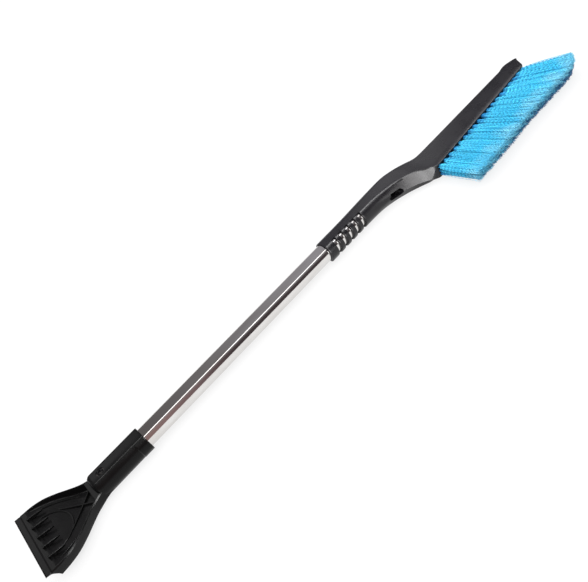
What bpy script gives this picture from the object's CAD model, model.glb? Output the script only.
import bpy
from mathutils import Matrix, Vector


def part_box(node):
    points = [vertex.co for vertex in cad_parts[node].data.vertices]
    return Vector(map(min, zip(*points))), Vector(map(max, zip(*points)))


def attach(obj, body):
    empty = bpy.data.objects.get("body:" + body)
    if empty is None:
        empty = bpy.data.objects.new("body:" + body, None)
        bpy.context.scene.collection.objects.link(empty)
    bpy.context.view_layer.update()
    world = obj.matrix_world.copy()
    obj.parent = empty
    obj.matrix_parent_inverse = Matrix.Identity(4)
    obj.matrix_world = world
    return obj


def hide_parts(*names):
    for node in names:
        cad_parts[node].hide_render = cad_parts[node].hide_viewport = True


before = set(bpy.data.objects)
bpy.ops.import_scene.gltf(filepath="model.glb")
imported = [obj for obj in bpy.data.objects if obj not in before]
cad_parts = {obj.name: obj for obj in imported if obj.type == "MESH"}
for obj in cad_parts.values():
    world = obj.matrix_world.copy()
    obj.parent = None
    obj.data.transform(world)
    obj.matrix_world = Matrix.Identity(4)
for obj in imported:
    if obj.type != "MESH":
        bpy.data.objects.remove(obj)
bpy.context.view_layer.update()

import math

import bmesh
import bpy
import numpy as np
from mathutils import Matrix

# The object's sizes are in millimetres, in the CAD's own axes: X runs along the tube from the end inside the
# scraper head, the tube's axis is Y = Z = 0, the bristles point along -Y and the flat side that shows is +Z.
# The floor and the lights are in metres, in the shared frame.
MM = 0.001
tube_low, tube_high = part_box("tube")
ORIGIN = np.array([tube_low.x, (tube_low.y + tube_high.y) / 2, (tube_low.z + tube_high.z) / 2])

TUBE_R = 11.0
TUBE_WALL = 1.0
SCRAPER_GRIP = 60.0
BRUSH_X = 336.0
BRUSH_GRIP = 70.0
FLAT = 11.6
BORE_R = TUBE_R + 0.12
BORE_STEP_R = 10.6
BORE_CHAMFER = 0.35
BACK_POWER = 0.85       # how square the heads' rounded backs are: 1 is an ellipse
LEAST = 0.02            # keeps two sides of an outline from meeting
SAME_POINT = 2e-6       # metres
CORNER_SHARE = 0.45     # the most of an outline's edge that one rounded corner takes


def placed(points):
    """Points in the CAD's axes and millimetres, as points in the shared frame in metres."""
    return np.asarray(points, float) * MM + ORIGIN


# ---------- Mesh helpers ----------


def curve(table, x):
    """A smooth curve through a table of (position, value) pairs."""
    i = 0
    while i < len(table) - 2 and x >= table[i + 1][0]:
        i += 1

    def slope(k):
        a, b = max(k - 1, 0), min(k + 1, len(table) - 1)
        return (table[b][1] - table[a][1]) / (table[b][0] - table[a][0])

    (x0, v0), (x1, v1) = table[i], table[i + 1]
    w = x1 - x0
    u = (x - x0) / w
    rise = u * u * (3 - 2 * u)
    return v0 * (1 - rise) + v1 * rise + w * u * (1 - u) * ((1 - u) * slope(i) - u * slope(i + 1))


def smooth(a, b, x):
    """An S-shaped rise from 0 at a to 1 at b."""
    u = min(max((x - a) / (b - a), 0.0), 1.0)
    return u * u * (3 - 2 * u)


def steps(a, b, size):
    """Evenly spaced places from a up to, not including, b."""
    return list(np.arange(a, b, size))


def rounded(corners):
    """A closed outline from (y, z, radius, points) corners. More than one point makes a corner an arc."""
    out = []
    for i, (y, z, radius, count) in enumerate(corners):
        p = np.array((y, z), float)
        if count == 1:
            out.append(tuple(p))
            continue
        ends = []
        for other in (corners[i - 1], corners[(i + 1) % len(corners)]):
            way = np.array(other[:2], float) - p
            length = max(np.linalg.norm(way), 1e-6)
            ends.append(p + way / length * min(radius, CORNER_SHARE * length))
        for k in range(count):
            u = k / (count - 1)
            out.append(tuple((1 - u) ** 2 * ends[0] + 2 * u * (1 - u) * p + u * u * ends[1]))
    return out


def skin(rings):
    """Points and faces of a closed skin through rings of points."""
    n = len(rings[0])
    points = [tuple(p) for ring in rings for p in ring]
    faces = [
        (s * n + i, s * n + (i + 1) % n, (s + 1) * n + (i + 1) % n, (s + 1) * n + i)
        for s in range(len(rings) - 1)
        for i in range(n)
    ]
    last = (len(rings) - 1) * n
    faces.append(tuple(range(n - 1, -1, -1)))
    faces.append(tuple(last + i for i in range(n)))
    return points, faces


def joined(parts):
    """Several (points, faces) pairs as one."""
    points, faces = [], []
    for p, f in parts:
        base = len(points)
        points += [tuple(q) for q in p]
        faces += [tuple(base + i for i in face) for face in f]
    return points, faces


def lathe(profile, count, centre, axis):
    """A turned shape: profile is (distance along axis, radius) pairs from one end to the other."""
    axis = np.array(axis, float) / np.linalg.norm(axis)
    upright = (0, 0, 1)
    side = np.cross(axis, upright if abs(np.dot(axis, upright)) < 0.9 else (1, 0, 0))
    side /= np.linalg.norm(side)
    other = np.cross(axis, side)
    turns = [2 * math.pi * k / count for k in range(count)]
    spokes = [side * math.cos(t) + other * math.sin(t) for t in turns]
    return skin([
        [np.array(centre) + axis * along + radius * spoke for spoke in spokes]
        for along, radius in profile
    ])


def shrunk(section, by):
    """A section's (x, y, z) points, drawn in towards the tube's axis."""
    return [(x, y * (1 - by / math.hypot(y, z)), z * (1 - by / math.hypot(y, z))) for x, y, z in section]


def bore_ring(x, radius, section):
    """A ring of the bore at x, with one point for each point of the section."""
    return [(x, radius * y / math.hypot(y, z), radius * z / math.hypot(y, z)) for _, y, z in section]


def bulging(crease, reach, half, count):
    """Points of an arc from (crease, -half) round to (crease, half) that bulges out to y = crease - reach."""
    radius = (reach * reach + half * half) / (2 * reach)
    widest = math.asin(min(1, half / radius))
    angles = [-widest + 2 * widest * k / count for k in range(1, count)]
    return [(crease - reach + radius * (1 - math.cos(a)), radius * math.sin(a), 0, 1) for a in angles]


def mesh_object(name, points, faces):
    """A new object from points in the CAD's axes, with its faces turned outwards."""
    mesh = bpy.data.meshes.new(name)
    mesh.from_pydata([tuple(p) for p in placed(points)], [], faces)
    mesh.validate()
    obj = bpy.data.objects.new(name, mesh)
    bpy.context.scene.collection.objects.link(obj)
    b = bmesh.new()
    b.from_mesh(mesh)
    bmesh.ops.recalc_face_normals(b, faces=b.faces)
    b.to_mesh(mesh)
    b.free()
    return obj


def carve(obj, *cutters):
    """Cuts closed shapes, given as (points, faces), out of a mesh."""
    for points, faces in cutters:
        cutter = mesh_object("cutter", points, faces)
        cut = obj.modifiers.new("cut", "BOOLEAN")
        cut.operation = "DIFFERENCE"
        cut.solver = "EXACT"
        cut.object = cutter
        depsgraph = bpy.context.evaluated_depsgraph_get()
        old = obj.data
        obj.data = bpy.data.meshes.new_from_object(obj.evaluated_get(depsgraph))
        obj.modifiers.clear()
        bpy.data.meshes.remove(old)
        bpy.data.objects.remove(cutter)


def shade(obj, sharp_degrees):
    """Smooth shading, apart from edges that turn by more than the given angle."""
    b = bmesh.new()
    b.from_mesh(obj.data)
    bmesh.ops.remove_doubles(b, verts=b.verts, dist=SAME_POINT)
    for face in b.faces:
        face.smooth = True
    for edge in b.edges:
        flat_enough = edge.calc_face_angle(0) < math.radians(sharp_degrees)
        edge.smooth = len(edge.link_faces) == 2 and flat_enough
    b.to_mesh(obj.data)
    b.free()


def piece(obj, material, slot, *nodes):
    """Gives an object its material and slot, and puts it in the place of its CAD nodes."""
    obj.data.materials.clear()
    obj.data.materials.append(material)
    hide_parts(*nodes)
    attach(obj, "root")


# ---------- Materials ----------


class Nodes:
    """A node tree, built up node by node. A value is a number, an (r, g, b) or another node's socket."""

    def __init__(self, tree):
        self.tree = tree

    def link(self, a, b):
        self.tree.links.new(a, b)

    def feed(self, sockets, values):
        for socket, value in zip(sockets, values):
            if isinstance(value, (int, float)):
                socket.default_value = value
            elif isinstance(value, tuple):
                socket.default_value = (*value, 1)
            else:
                self.link(value, socket)

    def spread(self, value, low, high, to_low, to_high):
        m = self.tree.nodes.new("ShaderNodeMapRange")
        for name, number in zip(("From Min", "From Max", "To Min", "To Max"), (low, high, to_low, to_high)):
            m.inputs[name].default_value = number
        self.link(value, m.inputs["Value"])
        return m.outputs["Result"]

    def ramp(self, value, stops):
        r = self.tree.nodes.new("ShaderNodeValToRGB")
        while len(r.color_ramp.elements) < len(stops):
            r.color_ramp.elements.new(0.5)
        for element, (position, colour) in zip(r.color_ramp.elements, stops):
            element.position = position
            element.color = (*colour, 1)
        self.link(value, r.inputs["Fac"])
        return r.outputs["Color"]

    def mix(self, factor, a, b, blend="MIX"):
        """Mixes two colours."""
        m = self.tree.nodes.new("ShaderNodeMix")
        m.data_type = "RGBA"
        m.blend_type = blend
        self.feed((m.inputs[0], m.inputs[6], m.inputs[7]), (factor, a, b))
        return m.outputs[2]

    def math(self, operation, a, b):
        m = self.tree.nodes.new("ShaderNodeMath")
        m.operation = operation
        self.feed((m.inputs[0], m.inputs[1]), (a, b))
        return m.outputs[0]


class Shader(Nodes):
    """A material with a Principled surface."""

    def __init__(self, name, colour, roughness, metallic=0.0, specular=0.5):
        self.material = bpy.data.materials.new(name)
        self.material.use_nodes = True
        super().__init__(self.material.node_tree)
        self.surface = self.tree.nodes["Principled BSDF"]
        self.surface.inputs["Base Color"].default_value = (*colour, 1)
        self.surface.inputs["Roughness"].default_value = roughness
        self.surface.inputs["Metallic"].default_value = metallic
        self.surface.inputs["Specular IOR Level"].default_value = specular
        self.where = self.tree.nodes.new("ShaderNodeTexCoord").outputs["Object"]

    def noise(self, scale, detail=3.0, stretch=(1, 1, 1), roughness=0.5):
        mapping = self.tree.nodes.new("ShaderNodeMapping")
        mapping.inputs["Scale"].default_value = stretch
        self.link(self.where, mapping.inputs["Vector"])
        n = self.tree.nodes.new("ShaderNodeTexNoise")
        n.inputs["Scale"].default_value = scale
        n.inputs["Detail"].default_value = detail
        n.inputs["Roughness"].default_value = roughness
        self.link(mapping.outputs["Vector"], n.inputs["Vector"])
        return n.outputs["Fac"]

    def bump(self, *layers):
        """Layers of (height socket, strength, depth in metres), one on top of another."""
        under = None
        for height, strength, depth in layers:
            b = self.tree.nodes.new("ShaderNodeBump")
            b.inputs["Strength"].default_value = strength
            b.inputs["Distance"].default_value = depth
            self.link(height, b.inputs["Height"])
            if under is not None:
                self.link(under, b.inputs["Normal"])
            under = b.outputs["Normal"]
        self.link(under, self.surface.inputs["Normal"])

    def colour(self, socket):
        self.link(socket, self.surface.inputs["Base Color"])

    def roughness(self, socket):
        self.link(socket, self.surface.inputs["Roughness"])


def tinted(colour, factor):
    """A colour made darker or lighter."""
    return tuple(c * factor for c in colour)


def moulded_plastic(name, colour, worn, roughness, grain, specular):
    """Satin moulded plastic: fine grain, faint flow streaks, rubbed edges and a few hairline scratches."""
    s = Shader(name, colour, roughness, specular=specular)
    cloud = s.noise(38, 4, roughness=0.6)
    flow = s.noise(6, 3, stretch=(12, 260, 260))
    fine = s.noise(grain, 2)
    hair = s.noise(5, 2, stretch=(60, 900, 500), roughness=0.35)
    scratch = s.spread(hair, 0.70, 0.76, 0, 1)
    edge = s.tree.nodes.new("ShaderNodeNewGeometry").outputs["Pointiness"]
    rubbed = s.math("MULTIPLY", s.spread(edge, 0.53, 0.62, 0, 0.55), s.spread(cloud, 0.3, 0.7, 0.4, 1))
    base = s.mix(s.spread(cloud, 0.25, 0.75, 0, 1), tinted(colour, 0.86), tinted(colour, 1.12))
    base = s.mix(s.spread(flow, 0.35, 0.75, 0, 0.22), base, tinted(colour, 1.35))
    base = s.mix(s.math("MULTIPLY", scratch, 0.25), base, worn)
    s.colour(s.mix(rubbed, base, worn))
    s.roughness(s.spread(cloud, 0.25, 0.75, roughness - 0.05, roughness + 0.07))
    s.bump((fine, 0.20, 0.00006), (cloud, 0.12, 0.0003), (scratch, 0.06, 0.00003))
    return s.material


def chromed_metal():
    """Bright plated tube: lengthwise draw marks, faint smears and a few fine scratches."""
    s = Shader("tube_chrome", (0.70, 0.685, 0.67), 0.10, metallic=1.0)
    drawn = s.noise(4, 4, stretch=(3, 420, 420), roughness=0.6)
    smear = s.noise(24, 4, stretch=(1, 3, 3))
    hair = s.noise(3, 2, stretch=(90, 700, 700), roughness=0.3)
    s.colour(s.mix(s.spread(smear, 0.3, 0.7, 0, 1), (0.66, 0.64, 0.62), (0.76, 0.75, 0.74)))
    s.roughness(s.math("ADD", s.spread(smear, 0.3, 0.75, 0.05, 0.10), s.spread(drawn, 0.45, 0.8, 0, 0.06)))
    s.bump((drawn, 0.06, 0.00004), (s.spread(hair, 0.66, 0.74, 0, 1), 0.03, 0.00002))
    return s.material


def screw_steel():
    """Blackened steel, worn brighter in patches."""
    s = Shader("screw_black_steel", (0.03, 0.03, 0.032), 0.38, metallic=0.8)
    wear = s.noise(420, 4)
    s.colour(s.mix(s.spread(wear, 0.45, 0.75, 0, 1), (0.018, 0.018, 0.02), (0.10, 0.098, 0.095)))
    s.roughness(s.spread(wear, 0.3, 0.7, 0.28, 0.48))
    s.bump((wear, 0.15, 0.00005))
    return s.material


def drawn_brass():
    """Brass wire with dull patches."""
    s = Shader("anchor_brass", (0.72, 0.53, 0.24), 0.32, metallic=1.0)
    dull = s.noise(300, 4)
    s.colour(s.mix(s.spread(dull, 0.3, 0.7, 0, 1), (0.74, 0.56, 0.27), (0.48, 0.34, 0.16)))
    s.roughness(s.spread(dull, 0.3, 0.7, 0.24, 0.44))
    s.bump((s.noise(900, 2, stretch=(1, 1, 0.1)), 0.1, 0.00003))
    return s.material


def bristle_plastic():
    """Blue crimped filament. Each point knows how far along the filament it is, and has a tint."""
    s = Shader("bristle_blue", (0.08, 0.5, 0.9), 0.42, specular=0.22)

    def read(name):
        a = s.tree.nodes.new("ShaderNodeAttribute")
        a.attribute_name = name
        return a.outputs["Fac"]

    along = read("along")
    patchy = s.math("ADD", along, s.spread(s.noise(55, 3, stretch=(1, 0.6, 1)), 0.3, 0.7, -0.14, 0.14))
    body = s.ramp(patchy, [
        (0.0, (0.05, 0.40, 0.76)), (0.14, (0.115, 0.750, 1.0)), (0.66, (0.09, 0.72, 0.985)),
        (0.92, (0.30, 0.83, 1.0)),
    ])
    root = s.spread(along, 0.0, 0.08, 0.55, 0)
    end = s.spread(along, 0.95, 1.0, 0, 1)
    filament = s.mix(end, s.mix(root, body, (0.02, 0.20, 0.50)), (0.010, 0.100, 0.34))
    tint = s.ramp(read("tint"), [
        (0.0, (0.12, 0.26, 0.42)), (0.40, (0.62, 0.74, 0.86)), (1.0, (1.0, 1.0, 1.0)),
    ])
    s.colour(s.mix(1.0, filament, tint, "MULTIPLY"))
    s.roughness(s.spread(s.noise(900, 2), 0.3, 0.7, 0.36, 0.5))
    s.bump((s.noise(5000, 2), 0.08, 0.00004))
    return s.material


# ---------- Tube ----------


def tube():
    """The tube, open at both ends, with its edges broken inside and out."""
    length = BRUSH_X + BRUSH_GRIP
    count, bore, edge = 128, TUBE_R - TUBE_WALL, 0.25
    stations = [edge] + steps(4, length - 2, 4) + [length - edge]
    profile = [(length - edge, bore), (edge, bore), (0, bore + edge), (0, TUBE_R - edge)]
    profile += [(x, TUBE_R) for x in stations] + [(length, TUBE_R - edge), (length, bore + edge)]
    turns = [2 * math.pi * k / count for k in range(count)]
    rings = [[(x, r * math.cos(t), r * math.sin(t)) for t in turns] for x, r in profile]
    rings.append(rings[0])
    points, faces = skin(rings)
    without_caps = faces[:-2]
    obj = mesh_object("tube_polished", points, without_caps)
    shade(obj, 30)
    return obj


# ---------- Screws ----------


def screw(name, at, up, turn):
    """Pan-head screw: a domed head over a plain shank, with a crossed recess in the head."""
    head_r, head_h, shank_r, shank_length, brim = 3.6, 1.1, 1.9, 9.0, 0.15
    angles = np.linspace(0, math.pi / 2, 9)
    dome = [(head_h * math.sin(a), head_r * (0.35 + 0.65 * math.cos(a))) for a in angles]
    profile = [(-shank_length, shank_r * 0.5), (-shank_length + 0.8, shank_r), (-0.001, shank_r)]
    profile += [(0, head_r - brim), (brim, head_r)]
    profile += [(max(z, brim), r) for z, r in dome[1:]] + [(head_h, 0.4)]
    obj = mesh_object(name, *lathe(profile, 64, at, up))
    axis = np.array(up, float)
    a, b = math.cos(turn), math.sin(turn)
    first = np.array((a, b, 0)) if up[2] else np.array((a, 0, b))
    recess = ((-0.55, 1.3, 0.30), (0.2, 2.05, 0.42), (2, 2.3, 0.6))
    recess_z = head_h - 0.45
    cutters = []
    for long_way in (first, np.cross(axis, first)):
        wide_way = np.cross(axis, long_way)
        rings = []
        for height, half_length, half_width in recess:
            middle = np.array(at) + axis * (recess_z + height)
            rings.append([
                middle + long_way * half_length * along + wide_way * half_width * across
                for along, across in ((-1, -1), (1, -1), (1, 1), (-1, 1))
            ])
        cutters.append(skin(rings))
    carve(obj, *cutters)
    shade(obj, 28)
    return obj


# ---------- Scraper head ----------

BLADE_REACH = 77.0
BLADE_HALF = 42.5
WALL_FRONT = 69.0
WALL = 2.8
HEAD_DEPTH = 12.0
SLEEVE_R = 12.6
COLLAR_R = 14.1
COLLAR_LENGTH = 12.0
SLEEVE_CREASE = -7.6
SLEEVE_REACH = 13.1
SLEEVE_BACK_FLAT = 5.5
SCREW_A_X = 10.0
CLAW_X = -66.2
CLAW_Y = (28.2, 14.2, 0, -14.2, -28.2)
STRIP_END = -66.0       # the blade's strip ends and the tray begins
TRAY_END = -10.0        # the tray ends and the sleeve begins
BLADE_EDGE = 0.75
BLADE_GROWTH = 3.9
PLATE_STEP = 1.85
TOP_SLOPE = 0.073
TOP_AT_TRAY_END = 3.2

# Each table gives a size of the scraper head along X.
HEAD_HALF = [
    (-BLADE_REACH, BLADE_HALF), (-68, BLADE_HALF), (-57, 41.7), (-46, 38.5), (-34, 31.8), (-24, 24.8),
    (-14, 18.2), (-4, 13.8), (4, 12.6), (20, 11.5),
]
HEAD_TOP = [(TRAY_END, TOP_AT_TRAY_END), (-4, 3.3), (20, 4)]
HEAD_LOW = [(TRAY_END, -8.8), (-4, -8.6), (4, -7.4), (12, -5.6), (20, -4)]
HEAD_LEAN = [(-69, 0.6), (-56, 1.6), (-30, 1.6), (-8, 0.8), (4, 0.4), (20, 0.3)]
TRAY_DEPTH = [(STRIP_END, 0.2), (-60, 2.5), (-45, 5), (-25, 8), (-12, 9)]


def top_z(x):
    """Height of the scraper head's rim."""
    return TOP_AT_TRAY_END - (x - TRAY_END) * TOP_SLOPE if x < TRAY_END else curve(HEAD_TOP, x)


def head_section(x):
    """Outline of the scraper head at x: two walls and a plate between them, a tray above, a hollow below."""
    top = top_z(x)
    half = curve(HEAD_HALF, x)
    lean = curve(HEAD_LEAN, max(x, -WALL_FRONT))
    tray = curve(TRAY_DEPTH, x) if x > STRIP_END else 0.0
    tray = max(tray, 0) * (1 - smooth(-11.2, -9.4, x)) * smooth(STRIP_END - 0.5, -62, x)
    floor = top - tray
    wall_low = top - HEAD_DEPTH if x < TRAY_END else curve(HEAD_LOW, x)
    if x < STRIP_END:
        plate = BLADE_EDGE + BLADE_GROWTH * (x + BLADE_REACH) / (BLADE_REACH + STRIP_END)
    else:
        plate = WALL + PLATE_STEP * (1 - smooth(STRIP_END, -58, x))
    roof = max(floor - plate, wall_low + LEAST)
    roof += (wall_low + LEAST - roof) * smooth(-35.5, -33, x)
    cut = (-x - WALL_FRONT + 1.2) / 4.2
    low = wall_low if cut <= 0 else wall_low + (roof - wall_low) * min(1, cut) ** 0.55
    rim = half - WALL * 0.85
    inner = rim - 1.6 * min(1, tray / 5)
    under = half - lean - WALL
    dip = 0.55 * smooth(-70.2, -71.4, x)
    bevel = 0.25 * smooth(-76.4, -BLADE_REACH, x)
    top_edge = top - dip - bevel
    floor -= dip + bevel
    fillet = min(1.6, 0.05 + tray * 0.5)
    side = [
        (inner * 0.33, floor, 0, 1), (inner * 0.66, floor, 0, 1), (inner, floor, fillet, 5),
        (rim, top_edge, 0.4, 3), (half, top_edge, 1.1, 2), (half - lean * 0.5, (top_edge + low) / 2, 0, 1),
        (half - lean, low, 0.6, 4), (under, low, 0.6, 4), (under - 1.4, roof, 1.2, 4),
        (under * 0.5, roof, 0, 1),
    ]
    other = [(-y, z, r, n) for y, z, r, n in reversed(side)]
    return [(x, y, z) for y, z in rounded([(0, floor, 0, 1)] + side + [(0, roof, 0, 1)] + other)]


def claw(x, y):
    """One ice claw: a thin upright wedge that grows higher towards the blade and ends steeply."""
    length, height, sunk = 15.5, 3.6, 1.5
    rings = []
    for s in np.linspace(0, 1, 13):
        rings.append((x + length * (1 - s), 0.55 + 0.75 * s, max(0.1, height * s ** 0.85)))
    rings += [(x - 0.35, 1.25, height * 0.93), (x - 0.6, 1.2, height * 0.6), (x - 0.7, 1.15, height * 0.1)]
    out = []
    for at, wide, tall in rings:
        base = top_z(at)
        edge = min(0.35, tall * 0.4)
        outline = rounded([
            (-wide, -sunk, 0, 1), (-wide, tall, edge, 2), (wide * 0.75, tall, edge, 2), (wide, -sunk, 0, 1),
        ])
        out.append([(at, y + py, base + pz) for py, pz in outline])
    return skin(out)


def rib(path, width, low):
    """A rib with a rounded top along a path of (x, y, height of its top)."""
    path = [np.array(p, float) for p in path]
    rings = []
    for i, p in enumerate(path):
        way = path[min(i + 1, len(path) - 1)] - path[max(i - 1, 0)]
        way[2] = 0
        way /= np.linalg.norm(way)
        side = np.array((-way[1], way[0], 0))
        h = width / 2
        outline = rounded([(-h, low, 0, 1), (-h, p[2], h * 0.7, 4), (h, p[2], h * 0.7, 4), (h, low, 0, 1)])
        rings.append([(p[0] + side[0] * a, p[1] + side[1] * a, b) for a, b in outline])
    return skin(rings)


def tray_floor(x):
    """Height of the tray's floor."""
    return top_z(x) - max(0, curve(TRAY_DEPTH, x))


def tray_ribs():
    """Crossed ribs at the tray's deep end, an arched one behind the claws and one along each of its sides."""
    parts = []
    width, thin, deep_low, low = 1.5, 1.2, -9, -6
    for side in (-1, 1):
        path = []
        for u in np.linspace(0, 1, 12):
            x = -11.5 - 29 * u
            y = side * (8.5 - 25 * u)
            reach = curve(HEAD_HALF, x) - 3.4
            y = max(-reach, min(reach, y))
            path.append((x, y, tray_floor(x) + 2.6 - 1.5 * u))
        parts.append(rib(path, width, deep_low))
    arch_x, arch_y, arch_r, arch_turn = -58, -1, 23, 96
    path = []
    for a in np.linspace(-arch_turn, arch_turn, 40):
        x = arch_x + arch_r * math.cos(math.radians(a))
        y = arch_y + arch_r * math.sin(math.radians(a))
        path.append((x, y, tray_floor(x) + 0.9 * smooth(0, 12, arch_turn - abs(a))))
    parts.append(rib(path, width, low))
    for side in (-1, 1):
        path = []
        for u in np.linspace(0, 1, 14):
            x = -60 + 40 * u
            height = smooth(0, 0.15, u) * smooth(1, 0.8, u)
            path.append((x, side * (curve(HEAD_HALF, x) - 8.5), tray_floor(x) + height))
        parts.append(rib(path, thin, low))
    return parts


def sleeve_section(x, shrink=0.0):
    """Outline of the scraper's sleeve: two flats, a rounded back and a bulging front and collar."""
    collar_x = SCRAPER_GRIP - COLLAR_LENGTH
    collar = smooth(collar_x - 0.6, collar_x + 0.6, x)
    reach = SLEEVE_REACH + (COLLAR_R - SLEEVE_REACH) * collar
    corners = [(SLEEVE_CREASE, FLAT, 0.9, 2), (0, FLAT, 0, 1), (4, FLAT, 0, 1)]
    for k in range(25):
        a = math.pi / 2 - math.pi * k / 24
        out = (SLEEVE_R - SLEEVE_BACK_FLAT) * max(0, math.cos(a)) ** BACK_POWER
        corners.append((SLEEVE_BACK_FLAT + out, FLAT * math.sin(a), 0, 1))
    corners += [(4, -FLAT, 0, 1), (0, -FLAT, 0, 1), (SLEEVE_CREASE, -FLAT, 0.9, 2)]
    corners += bulging(SLEEVE_CREASE, reach + SLEEVE_CREASE, FLAT, 30)[1:-1]
    return shrunk([(x, y, z) for y, z in rounded(corners)], shrink)


def scraper_head():
    """The scraper head: plate, walls and claws, with the sleeve and its screw recess."""
    stations = [-BLADE_REACH, -76.8, -76.4, -75.5, -74, -72.5, -71.6, -71.2, -70.8, -70.3, -69.8]
    stations += steps(-69.2, -60, 0.7) + steps(-60, -36, 1.2) + steps(-36, -32.5, 0.35)
    stations += steps(-32.5, -11.6, 1.1) + steps(-11.5, -9.2, 0.3) + steps(-9, 20, 1.5) + [20]
    head = mesh_object("scraper_blank", *skin([head_section(x) for x in stations]))

    end = sleeve_section(SCRAPER_GRIP)
    rings = [
        bore_ring(SCRAPER_GRIP - inside, radius, end)
        for inside, radius in ((10, BORE_STEP_R), (9.8, BORE_R), (0.4, BORE_R), (0, BORE_R + BORE_CHAMFER))
    ]
    for inside, shrink in ((0, 0.6), (0.2, 0.2), (0.6, 0)):
        rings.append(sleeve_section(SCRAPER_GRIP - inside, shrink))
    # The closed end is rounded in where it runs into the head.
    closed_x, closed_depth, closed_shrink = 0.8, 5.6, 4.4
    rings += [sleeve_section(x) for x in reversed(steps(closed_x, SCRAPER_GRIP - 1, 0.9))]
    for a in np.linspace(0, 1, 10) * math.pi / 2:
        rings.append(sleeve_section(closed_x - closed_depth * math.sin(a), closed_shrink * (1 - math.cos(a))))
    sleeve = mesh_object("sleeve_blank", *skin(rings))

    recess = [(9.2, 0.1), (9.2, 4.25), (11.35, 4.3), (11.5, 4.36), (11.62, 4.5), (11.7, 4.6), (14, 4.7)]
    carve(sleeve, lathe(recess, 64, (SCREW_A_X, 0, 0), (0, 0, 1)))
    extras = joined([claw(CLAW_X, y) for y in CLAW_Y] + tray_ribs())
    extra = mesh_object("rib_blank", *extras)

    parts = [head, sleeve, extra]
    b = bmesh.new()
    for part in parts:
        b.from_mesh(part.data)
    mesh = bpy.data.meshes.new("scraper_moulding")
    b.to_mesh(mesh)
    b.free()
    for part in parts:
        bpy.data.objects.remove(part)
    obj = bpy.data.objects.new("scraper_moulding", mesh)
    bpy.context.scene.collection.objects.link(obj)
    shade(obj, 32)
    return obj


# ---------- Brush head ----------

HEEL = 161.5
FACE_END = 368
BRUSH_LENGTH = 383
HEEL_X = BRUSH_X + HEEL
FACE_END_X = BRUSH_X + FACE_END
TOE_X = BRUSH_X + BRUSH_LENGTH
HEEL_Y = -44.5
FACE_END_Y = -31.5
BLOCK_HALF = 9.0
RIB_R = 13.9
HANG_R = 4.0
TIP = 3.0               # the length of the toe's rounded end
HANG_X = BRUSH_X + 111
SCREW_B_X = BRUSH_X + 7
WINDOW_FIRST = 14
WINDOW_PITCH = 11
WINDOWS = [BRUSH_X + WINDOW_FIRST + WINDOW_PITCH * i for i in range(5)]
WINDOW_HALF = 2.5
WINDOW_Y = -5.8


def from_brush(table):
    """A table whose positions are counted from the brush head's open end."""
    return [(BRUSH_X + x, v) for x, v in table]


# The brush head's edges, heights and depths along X.
FRONT_EDGE = from_brush([
    (0, SLEEVE_CREASE), (74, SLEEVE_CREASE), (92, -8.8), (112, -13.5), (133, -21), (145, -28), (155, -38),
    (HEEL, HEEL_Y),
])
FACE_EDGE = [(HEEL_X, HEEL_Y), (FACE_END_X, FACE_END_Y)]
TOE_EDGE = [(FACE_END_X, FACE_END_Y), (TOE_X, -11)]
BACK_EDGE = from_brush([
    (0, 12.4), (42, 12.6), (84, 14), (112, 14.2), (124, 13), (134, 10.2), (144, 6.6), (154, 2), (162, -2.5),
    (169, -4.8), (184, -5.6), (344, -6), (350, -6), (358, -4.5), (364, -4.2), (372, -6), (BRUSH_LENGTH, -10),
])
FLAT_HEIGHT = from_brush([
    (0, FLAT), (116, FLAT), (136, 10.8), (HEEL, BLOCK_HALF), (BRUSH_LENGTH, BLOCK_HALF),
])
SWELL = from_brush([
    (0, RIB_R + SLEEVE_CREASE), (80, RIB_R + SLEEVE_CREASE), (104, 6.6), (125, 7.6), (145, 8.1),
    (150, 7.8), (155, 4.6), (159, 1.2), (162, 0), (BRUSH_LENGTH, 0),
])
UNDER = from_brush([
    (0, 0), (96, 0), (125, 2.5), (140, 5), (149, 5), (155, 1.5), (160, 0), (BRUSH_LENGTH, 0),
])
BACK_ROUND = from_brush([(0, 10), (112, 9), (162, 4), (BRUSH_LENGTH, 3)])


def front_y(x):
    """The bristle side's edge: along the neck, the bristles' face, then the toe."""
    if x < HEEL_X:
        return curve(FRONT_EDGE, x)
    return curve(FACE_EDGE, x) if x < FACE_END_X else curve(TOE_EDGE, x)


def front_soft(x):
    """The same edge with the heel and the toe corner rounded off."""
    for corner, reach in ((HEEL_X, 3.4), (FACE_END_X, 3.0)):
        if abs(x - corner) < 4:
            spread = np.linspace(-1, 1, 11)
            weight = 1 - abs(spread) * 0.9
            return float(sum(w * front_y(x + reach * s) for s, w in zip(spread, weight)) / sum(weight))
    return front_y(x)


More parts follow.
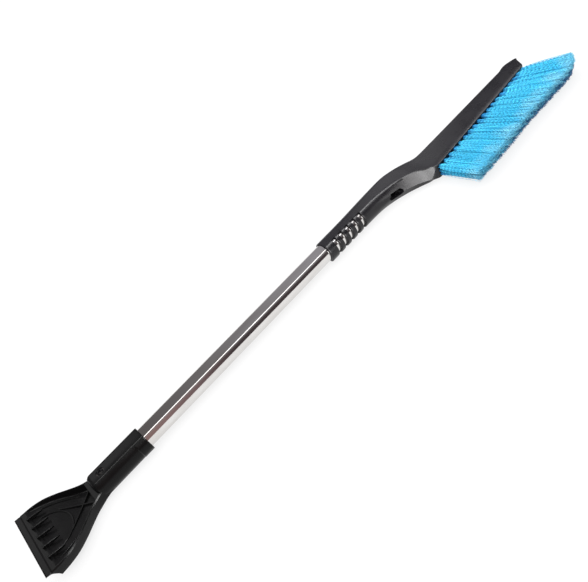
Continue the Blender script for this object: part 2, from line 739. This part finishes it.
def brush_section(x):
    """Outline of the brush head at x: two flat sides, a rounded back and a bulging bristle side.

    Towards the heel the bulge turns into a step below, a slanting facet and a ridge above.
    """
    at = min(x, TOE_X - TIP)
    h = min(FLAT, curve(FLAT_HEIGHT, x))
    front, back = front_soft(at), curve(BACK_EDGE, at)
    if x > TOE_X - TIP:
        left = max(LEAST, math.sqrt(max(0, 1 - ((x - at) / TIP) ** 2)))
        middle = (front + back) / 2
        front, back = middle + (front - middle) * left, middle + (back - middle) * left
        h -= 1.2 * (1 - left)
    swell = max(0, curve(SWELL, x))
    depth = min(curve(BACK_ROUND, x), (back - front) * 0.6)
    flat_end = back - depth
    corners = [(front, h, 0.95, 2)]
    corners += [(front + (flat_end - front) * t, h, 0, 1) for t in (0.25, 0.5, 0.75)]
    for k in range(25):
        a = math.pi / 2 - math.pi * k / 24
        corners.append((flat_end + depth * max(0, math.cos(a)) ** BACK_POWER, h * math.sin(a), 0, 1))
    corners += [(front + (flat_end - front) * t, -h, 0, 1) for t in (0.75, 0.5, 0.25)]
    corners.append((front, -h, 0.95, 2))
    facet = smooth(BRUSH_X + 80, BRUSH_X + 128, x)
    low = max(0, curve(UNDER, x))
    ridge = h - 1.68 * max(swell, 2.5)
    count, step_end, facet_end = 24, 3, 11
    arc = bulging(front, max(swell, LEAST), h, count)
    for k in range(2, count - 1):
        if k <= step_end:
            part = k / step_end
            y, z = front - low * part, -h + part
        elif k <= facet_end:
            part = (k - step_end) / (facet_end - step_end)
            y, z = front - low - (swell - low) * part, -h + 1 + (ridge + h - 1) * part
        else:
            part = (k - facet_end) / (count - facet_end)
            y, z = front - swell * (1 - part), ridge + (h - ridge) * part
        round_y, round_z = arc[k - 1][:2]
        corners.append((round_y + (y - round_y) * facet, round_z + (z - round_z) * facet, 0, 1))
    return [(x, y, z) for y, z in rounded(corners)]


def windowed(section, inset, cut):
    """The section at a window's edge: rounded in by inset, or with the bristle side cut away."""
    if cut:
        return [(x, max(y, WINDOW_Y), z) for x, y, z in section]
    out = []
    for point in section:
        out += shrunk([point], smooth(WINDOW_Y, WINDOW_Y - 1.2, point[1]) * inset)
    return out


def brush_stations():
    """Where the brush head's sections are: (x, how far the rib is rounded in, whether the window cuts it)."""
    stations = steps(BRUSH_X + 2, BRUSH_X + 74, 2) + steps(BRUSH_X + 74, BRUSH_X + 150, 1.6)
    stations += steps(BRUSH_X + 150, BRUSH_X + 172, 0.7) + steps(BRUSH_X + 172, FACE_END_X - 5, 3)
    stations += steps(FACE_END_X - 5, FACE_END_X + 5, 0.8) + steps(FACE_END_X + 5, TOE_X - TIP, 1.5)
    stations += [TOE_X - TIP * (1 - math.sin(a)) for a in np.linspace(0, math.pi / 2, 9)]
    clear = [x for x in stations if all(abs(x - w) > WINDOW_HALF + 1.1 for w in WINDOWS)]
    profile = [(x, 0, False) for x in clear]
    for w in WINDOWS:
        for side in (-1, 1):
            edge = w + side * WINDOW_HALF
            for away, inset in ((0.9, 0), (0.55, 0.06), (0.25, 0.22), (0.06, 0.5), (0, 0.8)):
                profile.append((edge + side * away, inset, False))
            profile.append((edge - side * 0.02, 0, True))
        profile += [(w + d, 0, True) for d in (-1.2, 0, 1.2)]
    profile.sort(key=lambda p: p[0])
    return profile


def hang_pocket():
    """The oblong pocket on the bristle side that the hanging hole starts in."""
    radius, half_run, count = 4.5, 5, 48
    rings = []
    for y in (-14, -60):
        ring = []
        for k in range(count):
            a = 2 * math.pi * (k + 0.5) / count
            run = half_run if math.cos(a) > 0 else -half_run
            ring.append((HANG_X + run + radius * math.cos(a), y, radius * math.sin(a)))
        rings.append(ring)
    return skin(rings)


def tuft_sockets():
    """The round holes in the block that the tufts stand in."""
    mouth = SOCKET_R + 0.12
    profile = [(-11, SOCKET_R), (-0.25, SOCKET_R), (0.1, mouth), (4, mouth)]
    return joined([
        lathe(profile, 20, *tuft_axis(column, row)) for column in range(COLUMNS) for row in ROWS
    ])


def brush_head():
    """The brush head: ribbed sleeve, neck with the hanging hole, bristle block and toe."""
    first = brush_section(BRUSH_X + 0.01)
    rings = [
        bore_ring(BRUSH_X + inside, radius, first)
        for inside, radius in ((8, BORE_STEP_R), (7.9, BORE_R), (0.4, BORE_R), (0, BORE_R + BORE_CHAMFER))
    ]
    for inside, shrink in ((0, 0.7), (0.25, 0.2), (0.8, 0)):
        rings.append(shrunk(brush_section(BRUSH_X + inside), shrink))
    rings += [windowed(brush_section(x), inset, cut) for x, inset, cut in brush_stations()]
    obj = mesh_object("brush_moulding", *skin(rings))

    hole = [(-40, HANG_R), (13.2, HANG_R), (13.9, 4.25), (14.4, 4.9), (16, 6.5)]
    recess = [(9.5, 3.9), (12.0, 3.9), (12.5, 4.2), (13.2, 4.9)]
    carve(
        obj, hang_pocket(), lathe(hole, 48, (HANG_X, 0, 0), (0, 1, 0)),
        lathe(recess, 48, (SCREW_B_X, 0, 0), (0, 1, 0)), tuft_sockets(),
    )
    shade(obj, 30)
    return obj


# ---------- Bristles ----------

COLUMNS = 19
ROWS = (-1, 0, 1)
TUFT_X = HEEL_X + 3.7
TUFT_PITCH = 10.9
ROW_PITCH = 5.0
ROW_SPREAD = 1.2
ROW_RISE = 1.75
HEEL_LEAN = 3.0
TOE_LEAN = 32.0
TRIM_REACH = 90.0
TRIM_STEPS = 9
TRIM_STEP_SHARE = 0.6
SOCKET_R = 2.35
TUFT_R = 2.2
TUFT_SPREAD = 6.0       # half of a tuft's width at its tips
TUFT_RISE = 3.15        # half of a tuft's height at its tips
SUNK = 4.0              # how far the filaments reach into the block
FILAMENT_POINTS = 54
FILAMENT_R = 0.21
FILAMENT_THINNING = 0.07
SIDES = 3
CRIMP = 0.72
CRIMP_PITCH = (4.5, 4.9)
FRAYS_EACH = 2
FRAY_POINTS = 6
FRAY_R = 0.12
FRAY_THINNING = 0.05
FAN = 0.16              # the share of its length in which a filament does most of its spreading
LIT = 0.07
SEED = 700
# How far the cut of the bristles stands out past TRIM_REACH, along X.
TRIM_LINE = [
    (HEEL_X - 20, 2.2), (HEEL_X + 12, 2.6), (HEEL_X + 52, 2.4), (HEEL_X + 115, -1),
    (HEEL_X + 155, -0.5), (HEEL_X + 190, 0.4), (HEEL_X + 204, -0.4), (HEEL_X + 214, -2.4),
    (HEEL_X + 222, -5.5), (HEEL_X + 229, -10.5), (HEEL_X + 235, -17.5), (HEEL_X + 239, -25),
    (HEEL_X + 243, -34),
]


def trim_y(x):
    """How far out the bristles are cut at x."""
    return -TRIM_REACH - np.interp(x, [p[0] for p in TRIM_LINE], [p[1] for p in TRIM_LINE])


def tuft_axis(column, row):
    """Where a tuft leaves the block and which way it points."""
    x = TUFT_X + column * TUFT_PITCH
    u = column / (COLUMNS - 1)
    lean = math.radians(HEEL_LEAN + (TOE_LEAN - HEEL_LEAN) * (0.1 * u + 0.9 * u * u))
    length = (TRIM_REACH + front_y(x)) / math.cos(lean)
    tilt = math.atan((row * ROW_SPREAD + ROW_RISE) / length)
    way = (math.cos(tilt) * math.sin(lean), -math.cos(tilt) * math.cos(lean), math.sin(tilt))
    return (x, front_y(x), row * ROW_PITCH), way


def strands(paths, radii, turn):
    """Thin closed tubes round many paths at once: paths is (strand, point, xyz), radii is (strand, point)."""
    n, k, _ = paths.shape
    way = np.gradient(paths, axis=1)
    way /= np.linalg.norm(way, axis=2, keepdims=True)
    side = np.cross(way, np.broadcast_to(np.array((0.31, 0.12, 0.94)), way.shape))
    side /= np.linalg.norm(side, axis=2, keepdims=True)
    other = np.cross(way, side)
    corner = np.arange(SIDES)
    angle = turn[:, None] + corner[None, :] * 2 * math.pi / SIDES
    ring = side[:, :, None, :] * np.cos(angle)[:, None, :, None]
    ring = ring + other[:, :, None, :] * np.sin(angle)[:, None, :, None]
    points = (paths[:, :, None, :] + ring * radii[:, :, None, None]).reshape(-1, 3)
    base = (np.arange(n) * k * SIDES)[:, None, None]
    i = base + (np.arange(k - 1) * SIDES)[None, :, None] + corner[None, None, :]
    j = base + (np.arange(k - 1) * SIDES)[None, :, None] + ((corner + 1) % SIDES)[None, None, :]
    quads = np.stack([i, j, j + SIDES, i + SIDES], -1)
    first = base[:, 0]
    last = first + (k - 1) * SIDES
    caps = np.concatenate([first + corner[::-1][None, :], last + corner[None, :]])
    return points, [tuple(q) for q in quads.reshape(-1, 4).tolist()] + [tuple(c) for c in caps.tolist()]


def disc_to_square(a, b):
    """Spreads points of a unit disc evenly over a square."""
    r = np.hypot(a, b)
    m = np.maximum(np.abs(a), np.abs(b)) + 1e-9
    return a * r / m, b * r / m


def clumping(x, z):
    """A smooth wave over the filaments' ends, which makes neighbours end alike."""
    wave = np.sin(2.1 * x + 0.9 * z) + np.sin(1.1 * x - 1.6 * z + 1.3)
    wave += np.sin(0.37 * x + 0.7 * z) + np.sin(3.3 * x + 2.4 * z + 0.4)
    return wave


def tuft(rng, column, row, per_tuft):
    """One tuft: (points, faces, along, tint) of its crimped filaments, then of the frays at their tips."""
    root, way = tuft_axis(column, row)
    root, way = np.array(root), np.array(way)
    side = np.cross(way, (0, 0, 1))
    side /= np.linalg.norm(side)
    up = np.cross(side, way)
    if up[2] < 0:
        up = -up

    # Where each filament starts in its hole, and how far it has spread at its tip.
    angle = rng.uniform(0, 2 * math.pi, per_tuft)
    radius = np.sqrt(rng.uniform(0, 1, per_tuft))
    a, b = radius * np.cos(angle), radius * np.sin(angle)
    across, above = disc_to_square(a, b)
    wide = TUFT_SPREAD + rng.normal(0, 0.35, per_tuft)
    drift = (1 - row) * max(0, 1 - column / 2) * (3.2 - 0.8 * across)
    tip = side * (across * wide + rng.normal(0, 0.5, per_tuft))[:, None]
    tip = tip + up * (above * TUFT_RISE)[:, None]
    tip = tip + np.array((1.0, 0, 0)) * drift[:, None]
    start = side * (a * TUFT_R)[:, None] + up * (b * TUFT_R)[:, None]

    # Its length: up to the cut, then longer or shorter by its height, its clump and chance.
    cosine = -way[1]
    length = (TRIM_REACH + root[1]) / cosine * np.ones(per_tuft)
    for _ in range(TRIM_STEPS):
        end = root + way * length[:, None] + tip
        length += TRIM_STEP_SHARE * (end[:, 1] - trim_y(end[:, 0])) / cosine
    height = (root + way * length[:, None] + tip)[:, 2]
    rise = np.clip((height + 8) / 17, 0, 1)
    fall = np.clip((height - 7.5) / 3.5, 0, 1.2)
    length += 2.4 + 4.4 * rise - 1.8 * fall ** 2
    clump = clumping((root + way * length[:, None] + tip)[:, 0], height)
    length += 0.35 * clump + rng.normal(0, 0.5, per_tuft) - 2.4 * rng.uniform(0, 1, per_tuft) ** 5

    # Tips above a height, edge, are lit: they take the paler colour of a point further from the end.
    toe = column / (COLUMNS - 1)
    edge = 3.2 - 9.0 * (1 - toe) ** 2.2 - 2.5 * max(0, toe - 0.75)
    lit = LIT * np.clip((height + 1.9 * clump + rng.normal(0, 1.2, per_tuft) - edge) / 2.5, 0, 1)

    # Its path: it fans out, bends a little and is crimped.
    each = (per_tuft, 1, 1)
    s = np.linspace(0, 1, FILAMENT_POINTS)[None, :, None]
    dist = -SUNK + (length[:, None, None] + SUNK) * s
    share = np.clip(dist / length[:, None, None], 0, 1)
    fan = (1 - np.exp(-share / FAN)) / (1 - math.exp(-1 / FAN))
    path = root + way * dist + start[:, None, :] + (tip - start)[:, None, :] * fan
    bend = rng.normal(0, 0.5, each) * side + rng.normal(0, 0.25, each) * up
    path = path + bend * (share * (1 - share) * 4)
    pitch = rng.uniform(*CRIMP_PITCH, each)
    phase = rng.uniform(0, 2 * math.pi) + rng.normal(0, 0.55, each) + 1.4 * across[:, None, None]
    wave = np.sin(dist / pitch * 2 * math.pi + phase)
    heading = 1.15 + rng.normal(0, 0.35, per_tuft)
    sway = side * np.cos(heading)[:, None] + up * np.sin(heading)[:, None]
    amount = CRIMP * np.clip((dist - 0.5) / 3, 0, 1) * (1 - 0.6 * np.clip((share - 0.7) / 0.3, 0, 1))
    path = path + sway[:, None, :] * wave * amount
    flat_share = share[:, :, 0]
    thick = FILAMENT_R - FILAMENT_THINNING * np.clip((flat_share - 0.75) / 0.25, 0, 1)
    filaments = strands(path, thick, rng.uniform(0, 2 * math.pi, per_tuft))
    along = flat_share - lit[:, None] * (flat_share > 0.9)
    tint = rng.uniform(0.45, 1, (per_tuft, 1)) + 0.55 * wave[:, :, 0] * (amount[:, :, 0] / CRIMP)
    return [(*filaments, along, np.clip(tint, 0, 1)), frays(rng, path, lit, way, side, up)]


def frays(rng, path, lit, way, side, up):
    """The split ends: thin strands that leave each filament near its tip and stand off from it."""
    count, points = FRAYS_EACH * len(path), path.shape[1]
    each = (count, 1, 1)
    owner = np.tile(np.arange(len(path)), FRAYS_EACH)
    s = np.linspace(0, 1, FRAY_POINTS)[None, :, None]
    at = ((1 - rng.uniform(0.10, 0.22, each)) * (1 - s) + s) * (points - 1)
    at = np.clip(at, 0, points - 1)
    lower = np.floor(at[:, :, 0]).astype(int)
    upper = np.minimum(lower + 1, points - 1)
    part = (at[:, :, 0] - lower)[:, :, None]
    own = path[owner[:, None], lower] * (1 - part) + path[owner[:, None], upper] * part
    off = side * rng.normal(0, 0.75, each) + up * rng.normal(0, 0.42, each)
    off = off + way * rng.uniform(-0.8, 0.25, each)
    own = own + off * s ** 1.3
    thin = np.broadcast_to(FRAY_R - FRAY_THINNING * s[:, :, 0], (count, FRAY_POINTS))
    tubes = strands(own, thin, rng.uniform(0, 2 * math.pi, count))
    along = at[:, :, 0] / (points - 1) - lit[owner][:, None]
    tint = np.broadcast_to(rng.uniform(0.3, 1, count)[:, None], (count, FRAY_POINTS))
    return (*tubes, along, tint)


def bristle_column(column, per_tuft):
    """The filaments of one column of tufts, with the colour's guide values on each point."""
    rng = np.random.RandomState(SEED + column)
    points, faces, along_values, tint_values = [], [], [], []
    base = 0
    for row in ROWS:
        for p, f, along, tint in tuft(rng, column, row, per_tuft):
            points.append(p)
            faces += [tuple(i + base for i in face) for face in f]
            along_values.append(np.repeat(along.reshape(-1), SIDES))
            tint_values.append(np.repeat(tint.reshape(-1), SIDES))
            base += len(p)

    name = f"bristles_{column + 1:02d}"
    mesh = bpy.data.meshes.new(name)
    mesh.from_pydata(placed(np.concatenate(points)).tolist(), [], faces)
    for label, values in (("along", along_values), ("tint", tint_values)):
        attribute = mesh.attributes.new(label, "FLOAT", "POINT")
        attribute.data.foreach_set("value", np.concatenate(values).astype(np.float32))
    mesh.polygons.foreach_set("use_smooth", np.ones(len(mesh.polygons), bool))
    obj = bpy.data.objects.new(name, mesh)
    bpy.context.scene.collection.objects.link(obj)
    return obj


# ---------- Pieces ----------

chrome = chromed_metal()
scraper_plastic = moulded_plastic(
    "scraper_plastic_black", colour=(0.0042, 0.0042, 0.0043), worn=(0.015, 0.015, 0.0155),
    roughness=0.22, grain=2400, specular=0.14,
)
brush_plastic = moulded_plastic(
    "brush_plastic_charcoal", colour=(0.0072, 0.0068, 0.0088), worn=(0.022, 0.022, 0.024),
    roughness=0.27, grain=2600, specular=0.36,
)
steel = screw_steel()
brass = drawn_brass()
blue = bristle_plastic()

piece(tube(), chrome, "tube_metal", "tube")
piece(scraper_head(), scraper_plastic, "scraper_plastic", "scraper_head")
piece(brush_head(), brush_plastic, "brush_plastic", "brush_head")
scraper_screw = screw("scraper_screw_pan_head", at=(SCREW_A_X, 0, TUBE_R), up=(0, 0, 1), turn=0.6)
piece(scraper_screw, steel, "screw_steel", "scraper_screw")
brush_screw = screw("brush_screw_pan_head", at=(SCREW_B_X, TUBE_R, 0), up=(0, 1, 0), turn=0.3)
piece(brush_screw, steel, "screw_steel", "brush_screw")
filaments_per_tuft = 84
for index in range(COLUMNS):
    piece(bristle_column(index, filaments_per_tuft), blue, "bristle", f"tuft_{index + 1:02d}")

# The staples stay as CAD nodes.
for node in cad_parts.values():
    if not node.hide_render:
        node.data.materials.clear()
        node.data.materials.append(brass)

# ---------- Floor, light and camera ----------

FLOOR_HALF = 4.0
FLOOR_DROP = 0.0002
corner_signs = ((-1, -1), (1, -1), (1, 1), (-1, 1))
floor_corners = [(FLOOR_HALF * a, FLOOR_HALF * b, -FLOOR_DROP) for a, b in corner_signs]
floor_mesh = bpy.data.meshes.new("floor")
floor_mesh.from_pydata(floor_corners, [], [(0, 1, 2, 3)])
floor = bpy.data.objects.new("floor", floor_mesh)
bpy.context.scene.collection.objects.link(floor)
# Most of the floor's white is its own glow, so the object's shadow stays faint.
pale = Shader("floor_pale", (0.13, 0.13, 0.131), 0.85, specular=0.1)
pale.surface.inputs["Emission Color"].default_value = (1, 1, 1, 1)
pale.surface.inputs["Emission Strength"].default_value = 0.81
floor.data.materials.append(pale.material)


def facing(across, up, back, at):
    """The matrix of a light or camera at a place, from the directions of its own X, Y and Z."""
    matrix = Matrix.Identity(4)
    for row in range(3):
        for column, vector in enumerate((across, up, back, at)):
            matrix[row][column] = vector[row]
    return matrix


def reflection_light(name, at, towards, size, watts):
    """An area light that only shows as a reflection."""
    data = bpy.data.lights.new(name, "AREA")
    data.shape = "RECTANGLE"
    data.size, data.size_y = size
    data.energy = watts
    light = bpy.data.objects.new(name, data)
    bpy.context.scene.collection.objects.link(light)
    way = np.array(towards, float) - np.array(at, float)
    back = -way / np.linalg.norm(way)
    across = np.cross((0, 0, 1), back)
    across /= np.linalg.norm(across)
    light.matrix_world = facing(across, np.cross(back, across), back, at)
    light.visible_diffuse = False
    return light


overhead = bpy.data.objects.new("overhead_softbox", bpy.data.lights.new("overhead_softbox", "SUN"))
overhead.data.energy = 6.0
overhead.data.angle = math.radians(110)
overhead.rotation_euler = (math.radians(-14), math.radians(-8), 0)
overhead.visible_glossy = False
bpy.context.scene.collection.objects.link(overhead)

# These only show as reflections: one strip over the tube, and softboxes that only one of the two
# mouldings sees, for its edges, its flat sides and the facet at the brush's heel.
reflection_light("tube_strip", (0.16, -0.67, 1.12), (0.16, 0, 0), (1.9, 0.17), 2.2)
SCRAPER, BRUSH = "scraper_moulding", "brush_moulding"
seen_by = {}
for name in (SCRAPER, BRUSH):
    seen_by[name] = bpy.data.collections.new(name + "_lights")
    seen_by[name].objects.link(bpy.data.objects[name])
for name, moulding, at, towards, size, watts in (
    ("scraper_edge_strip", SCRAPER, (-0.20, 0.16, 1.28), (-0.20, 0, 0), (1.0, 0.24), 7.5),
    ("scraper_rim_box", SCRAPER, (0.12, -0.61, 0.63), (-0.36, -0.01, 0.01), (0.55, 0.22), 9),
    ("scraper_flat_box", SCRAPER, (-0.51, 0.95, 0.88), (-0.35, 0, 0.01), (0.42, 0.50), 0.75),
    ("brush_edge_strip", BRUSH, (0.65, 0.16, 1.28), (0.65, 0, 0), (1.2, 0.24), 9.5),
    ("brush_crease_strip", BRUSH, (0.40, -0.36, 1.28), (0.16, 0, 0), (1.50, 0.28), 14),
    ("brush_lower_edge_strip", BRUSH, (1.62, 0.27, 1.28), (0.26, -0.02, 0.01), (0.90, 0.34), 4),
    ("brush_heel_box", BRUSH, (-0.58, -0.86, 0.34), (0.16, -0.01, 0.01), (0.52, 0.56), 13),
    ("brush_heel_fill", BRUSH, (-0.10, -1.06, 0.30), (0.16, -0.01, 0.01), (0.56, 0.48), 8.2),
    ("brush_neck_fill", BRUSH, (0.38, -1.12, 0.22), (0.14, -0.01, 0.01), (0.48, 0.30), 1.3),
    ("brush_flat_box", BRUSH, (0.844, 0.81, 0.775), (0.14, -0.02, 0.02), (0.34, 0.50), 0.45),
):
    light = reflection_light(name, at, towards, size, watts)
    light.light_linking.receiver_collection = seen_by[moulding]

world = bpy.data.worlds.new("studio")
bpy.context.scene.world = world
world.use_nodes = True
sky = Nodes(world.node_tree)
background = sky.tree.nodes["Background"]
direction = sky.tree.nodes.new("ShaderNodeTexCoord").outputs["Generated"]
direction_parts = sky.tree.nodes.new("ShaderNodeSeparateXYZ")
sky.link(direction, direction_parts.inputs[0])


def across_sky(axis, low, high, stops):
    """A colour that changes across the sky along one axis of the direction looked in."""
    return sky.ramp(sky.spread(direction_parts.outputs[axis], low, high, 0, 1), stops)


# Towards -Y the sky is darker, and rosy on the scraper's side (-X). Everywhere else it only changes along X.
back = across_sky(0, -0.1, 0.8, [
    (0, (0.11, 0.10, 0.10)), (0.22, (0.19, 0.18, 0.185)), (0.54, (0.36, 0.35, 0.375)),
    (0.8, (0.29, 0.28, 0.30)), (0.95, (0.05, 0.05, 0.05)),
])
front = across_sky(1, -1.0, -0.6, [
    (0, (0.055, 0.042, 0.045)), (0.4, (0.075, 0.06, 0.062)), (1, (0.20, 0.19, 0.195)),
])
rosy = across_sky(0, 0.0, 0.2, [(0, (0.25, 0.155, 0.145)), (0.5, (0.15, 0.098, 0.102)), (0.9, (0, 0, 0))])
full = across_sky(0, -2.0, 2.0, [(0, (1, 1, 1)), (1, (1, 1, 1))])
to_back = across_sky(1, -0.8, -0.5, [(0, (0, 0, 0)), (1, (1, 1, 1))])
whole_sky = sky.mix(to_back, sky.mix(full, front, rosy, "ADD"), back)
sky.link(whole_sky, background.inputs["Color"])
background.inputs["Strength"].default_value = 1.0

# The camera comes from a perspective fit to the photograph's outline.
CAMERA_AT = placed((73.1, -456.7, 418.7))
CAMERA_ACROSS = (0.6593, -0.6502, -0.3776)
CAMERA_UP = (0.6832, 0.3084, 0.6620)
CAMERA_BACK = (-0.3140, -0.6944, 0.6475)
camera_data = bpy.data.cameras.new("camera")
camera_data.sensor_width = 36
camera_data.lens = 36.12
camera = bpy.data.objects.new("camera", camera_data)
bpy.context.scene.collection.objects.link(camera)
camera.matrix_world = facing(CAMERA_ACROSS, CAMERA_UP, CAMERA_BACK, CAMERA_AT)
bpy.context.scene.camera = camera
bpy.context.scene.view_settings.view_transform = "Standard"
